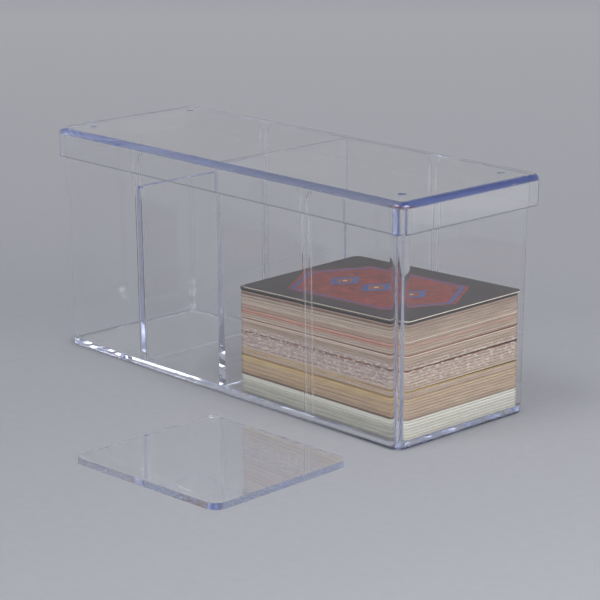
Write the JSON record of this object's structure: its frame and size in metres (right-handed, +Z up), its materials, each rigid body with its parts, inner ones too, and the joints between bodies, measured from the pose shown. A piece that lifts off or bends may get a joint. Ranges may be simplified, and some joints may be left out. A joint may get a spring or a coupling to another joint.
{
  "type": "card deck box",
  "caption": "Clear moulded card storage box with a lift-off lid, a fixed middle partition, slide-in dividers in railed slots and a deck of loose cards lying in one half.",
  "frame": {"origin": "middle of the tray's flat underside, on the table", "axes": "+X along the box's length towards the half with the cards, +Y to the back, +Z up"},
  "size_m": [0.202, 0.164, 0.0931],
  "materials": {
    "tray_plastic": "clear polished",
    "lid_plastic": "clear polished",
    "divider_plastic": "clear polished",
    "card_stock": "cut edges, coated faces",
    "card_back": "printed, coated"
  },
  "bodies": {
    "tray": {"tray": "tray_plastic"},
    "lid": {"lid": "lid_plastic"},
    "left_divider": {"divider_left": "divider_plastic"},
    "loose_divider": {"divider_loose": "divider_plastic"},
    "deck": {"card_bundle_01": "card_stock", "card_bundle_02": "card_stock", "card_bundle_03": "card_stock", "card_bundle_04": "card_stock", "card_bundle_05": "card_stock", "card_bundle_06": "card_stock", "card_bundle_07": "card_stock", "card_bundle_08": "card_stock", "card_bundle_09": "card_stock", "card_bundle_10": "card_stock", "card_bundle_11": "card_stock", "card_bundle_12": "card_stock", "card_bundle_13": "card_stock"},
    "top_card": {"top_card": "card_back"}
  },
  "joints": [
    {"name": "lid_lift", "type": "slide", "parent": "tray", "child": "lid", "axis": [0, 0, 1], "range_m": [0, 0.1]},
    {"name": "left_divider_lift", "type": "slide", "parent": "tray", "child": "left_divider", "axis": [0, 0, 1], "range_m": [0, 0.0145]},
    {"name": "loose_divider_lift", "type": "slide", "parent": "tray", "child": "loose_divider", "axis": [0, 0, 1], "range_m": [0, 0.06]},
    {"name": "deck_lift", "type": "slide", "parent": "tray", "child": "deck", "axis": [0, 0, 1], "range_m": [0, 0.03]},
    {"name": "top_card_lift", "type": "slide", "parent": "deck", "child": "top_card", "axis": [0, 0, 1], "range_m": [0, 0.0115]}
  ]
}
